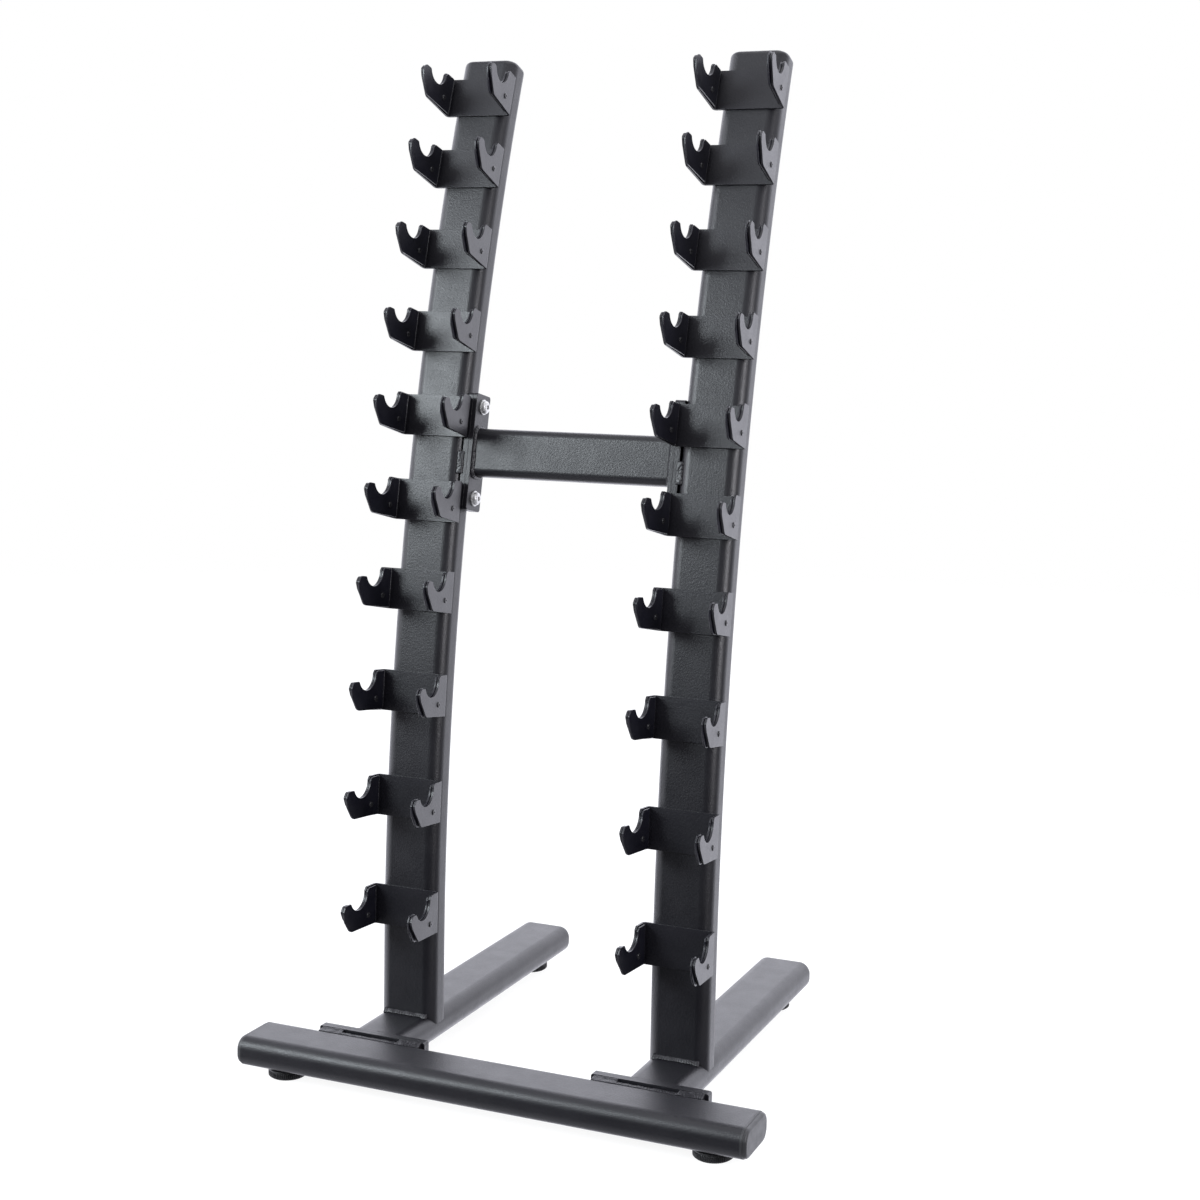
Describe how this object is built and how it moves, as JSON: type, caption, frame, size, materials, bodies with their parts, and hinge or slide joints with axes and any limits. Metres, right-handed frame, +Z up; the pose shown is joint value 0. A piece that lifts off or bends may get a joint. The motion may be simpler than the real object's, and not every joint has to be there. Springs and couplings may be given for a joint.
{
  "type": "dumbbell rack",
  "caption": "Free-standing vertical dumbbell rack in dark powder-coated steel: two curved uprights carry rows of lined saddles and stand on an H-shaped base with screw-in levelling feet.",
  "frame": {"origin": "centre of the footprint, on the floor", "axes": "+X to the right of somebody facing the saddles, +Y to the back, +Z up"},
  "size_m": [0.716, 0.63, 1.3718],
  "materials": {
    "frame_powder_coat": "satin, finely textured dark grey powder coat",
    "cap_plastic": "moulded, matt dark grey",
    "liner_plastic": "smooth, low sheen",
    "rivet_steel": "dark coated rivet heads",
    "plated_steel": "bright zinc plated",
    "foot_plastic": "moulded black with a knurled rim",
    "pad_rubber": "matt glide pad"
  },
  "bodies": {
    "frame": {"front_rail": "frame_powder_coat", "front_rail_cap_left": "cap_plastic", "front_rail_cap_right": "cap_plastic", "front_flange_left": "frame_powder_coat", "front_flange_right": "frame_powder_coat", "foot_flange_left": "frame_powder_coat", "foot_flange_right": "frame_powder_coat", "foot_rail_left": "frame_powder_coat", "foot_rail_right": "frame_powder_coat", "foot_rail_cap_left": "frame_powder_coat", "foot_rail_cap_right": "frame_powder_coat", "upright_left": "frame_powder_coat", "upright_right": "frame_powder_coat", "upright_cap_left": "frame_powder_coat", "upright_cap_right": "frame_powder_coat", "crossmember": "frame_powder_coat", "crossmember_plate_left": "frame_powder_coat", "crossmember_plate_right": "frame_powder_coat", "upright_side_plate_left": "frame_powder_coat", "upright_side_plate_right": "frame_powder_coat", "saddle_left_01": "frame_powder_coat", "saddle_left_02": "frame_powder_coat", "saddle_left_03": "frame_powder_coat", "saddle_left_04": "frame_powder_coat", "saddle_left_05": "frame_powder_coat", "saddle_left_06": "frame_powder_coat", "saddle_left_07": "frame_powder_coat", "saddle_left_08": "frame_powder_coat", "saddle_left_09": "frame_powder_coat", "saddle_left_10": "frame_powder_coat", "saddle_right_01": "frame_powder_coat", "saddle_right_02": "frame_powder_coat", "saddle_right_03": "frame_powder_coat", "saddle_right_04": "frame_powder_coat", "saddle_right_05": "frame_powder_coat", "saddle_right_06": "frame_powder_coat", "saddle_right_07": "frame_powder_coat", "saddle_right_08": "frame_powder_coat", "saddle_right_09": "frame_powder_coat", "saddle_right_10": "frame_powder_coat", "saddle_liners_left": "liner_plastic", "saddle_liners_right": "liner_plastic", "saddle_rivets_left": "rivet_steel", "saddle_rivets_right": "rivet_steel", "frame_welds": "frame_powder_coat", "saddle_welds": "frame_powder_coat", "crossmember_bolts": "plated_steel", "crossmember_washers": "plated_steel", "crossmember_bushes": "plated_steel", "flange_bolts": "plated_steel", "flange_bushes": "plated_steel", "levelling_bushes": "plated_steel"},
    "glide_front_left": {"levelling_pad_front_left": "pad_rubber"},
    "screw_front_left": {"levelling_foot_front_left": "foot_plastic"},
    "glide_front_right": {"levelling_pad_front_right": "pad_rubber"},
    "screw_front_right": {"levelling_foot_front_right": "foot_plastic"},
    "glide_rear_left": {"levelling_pad_rear_left": "pad_rubber"},
    "screw_rear_left": {"levelling_foot_rear_left": "foot_plastic"},
    "glide_rear_right": {"levelling_pad_rear_right": "pad_rubber"},
    "screw_rear_right": {"levelling_foot_rear_right": "foot_plastic"}
  },
  "joints": [
    {"name": "height_front_left", "type": "slide", "parent": "frame", "child": "glide_front_left", "axis": [0, 0, -1], "range_m": [0, 0.015]},
    {"name": "spin_front_left", "type": "hinge", "parent": "glide_front_left", "child": "screw_front_left", "pos_m": [-0.303, -0.2735, 0.005], "axis": [0, 0, -1], "range_deg": [0, 3600]},
    {"name": "height_front_right", "type": "slide", "parent": "frame", "child": "glide_front_right", "axis": [0, 0, -1], "range_m": [0, 0.015]},
    {"name": "spin_front_right", "type": "hinge", "parent": "glide_front_right", "child": "screw_front_right", "pos_m": [0.303, -0.2735, 0.005], "axis": [0, 0, -1], "range_deg": [0, 3600]},
    {"name": "height_rear_left", "type": "slide", "parent": "frame", "child": "glide_rear_left", "axis": [0, 0, -1], "range_m": [0, 0.015]},
    {"name": "spin_rear_left", "type": "hinge", "parent": "glide_rear_left", "child": "screw_rear_left", "pos_m": [-0.2, 0.255, 0.005], "axis": [0, 0, -1], "range_deg": [0, 3600]},
    {"name": "height_rear_right", "type": "slide", "parent": "frame", "child": "glide_rear_right", "axis": [0, 0, -1], "range_m": [0, 0.015]},
    {"name": "spin_rear_right", "type": "hinge", "parent": "glide_rear_right", "child": "screw_rear_right", "pos_m": [0.2, 0.255, 0.005], "axis": [0, 0, -1], "range_deg": [0, 3600]}
  ],
  "couplings": [
    {"joint": "spin_front_left", "follows": "height_front_left", "rad_per_m": 4188.8},
    {"joint": "spin_front_right", "follows": "height_front_right", "rad_per_m": 4188.8},
    {"joint": "spin_rear_left", "follows": "height_rear_left", "rad_per_m": 4188.8},
    {"joint": "spin_rear_right", "follows": "height_rear_right", "rad_per_m": 4188.8}
  ]
}
